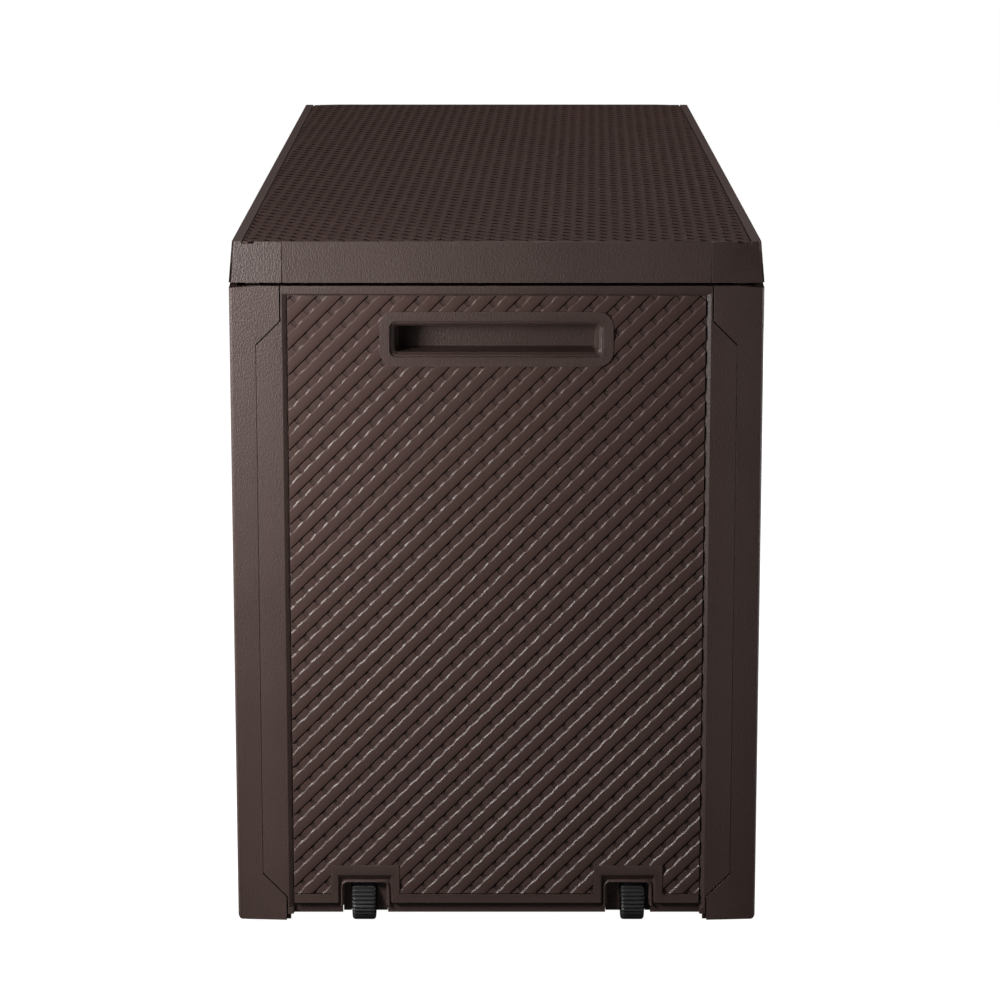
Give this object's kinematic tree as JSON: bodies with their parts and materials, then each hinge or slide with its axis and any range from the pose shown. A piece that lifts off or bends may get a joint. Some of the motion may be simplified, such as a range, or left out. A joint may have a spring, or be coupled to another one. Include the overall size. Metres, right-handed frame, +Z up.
{
  "type": "deck storage box",
  "caption": "Rectangular resin deck box with a hinged flat lid, woven-pattern panels, recessed end handles and small wheels at one end.",
  "frame": {"origin": "middle of the footprint, on the ground", "axes": "+X along the box's length, towards the wheels; +Y towards the hinge side; +Z up"},
  "size_m": [1.2, 0.45, 0.5988],
  "materials": {
    "brown_resin": "fine leather grain, low satin sheen",
    "black_resin": "moulded, cross-ribbed tread",
    "zinc_steel": "zinc plated"
  },
  "bodies": {
    "box_body": {"back_wall": "brown_resin", "back_wheel_axle": "zinc_steel", "base_floor": "brown_resin", "front_wall": "brown_resin", "front_wheel_axle": "zinc_steel", "hinge_1_pin": "zinc_steel", "hinge_1_wall_leaf": "brown_resin", "hinge_1_wall_screw_1": "zinc_steel", "hinge_1_wall_screw_2": "zinc_steel", "hinge_2_pin": "zinc_steel", "hinge_2_wall_leaf": "brown_resin", "hinge_2_wall_screw_1": "zinc_steel", "hinge_2_wall_screw_2": "zinc_steel", "hinge_3_pin": "zinc_steel", "hinge_3_wall_leaf": "brown_resin", "hinge_3_wall_screw_1": "zinc_steel", "hinge_3_wall_screw_2": "zinc_steel", "plain_end_wall": "brown_resin", "wheel_end_wall": "brown_resin"},
    "lid": {"hinge_1_lid_leaf": "brown_resin", "hinge_1_lid_screw_1": "zinc_steel", "hinge_1_lid_screw_2": "zinc_steel", "hinge_2_lid_leaf": "brown_resin", "hinge_2_lid_screw_1": "zinc_steel", "hinge_2_lid_screw_2": "zinc_steel", "hinge_3_lid_leaf": "brown_resin", "hinge_3_lid_screw_1": "zinc_steel", "hinge_3_lid_screw_2": "zinc_steel", "lid_shell": "brown_resin"},
    "front_wheel": {"front_wheel": "black_resin"},
    "back_wheel": {"back_wheel": "black_resin"}
  },
  "joints": [
    {"name": "lid_hinge", "type": "hinge", "parent": "box_body", "child": "lid", "pos_m": [0, 0.217, 0.58], "axis": [-1, 0, 0], "range_deg": [0, 100]},
    {"name": "front_wheel_spin", "type": "hinge", "parent": "box_body", "child": "front_wheel", "pos_m": [0.5795, -0.1155, 0.02], "axis": [0, 1, 0], "continuous": true},
    {"name": "back_wheel_spin", "type": "hinge", "parent": "box_body", "child": "back_wheel", "pos_m": [0.5795, 0.1183, 0.02], "axis": [0, 1, 0], "continuous": true}
  ]
}
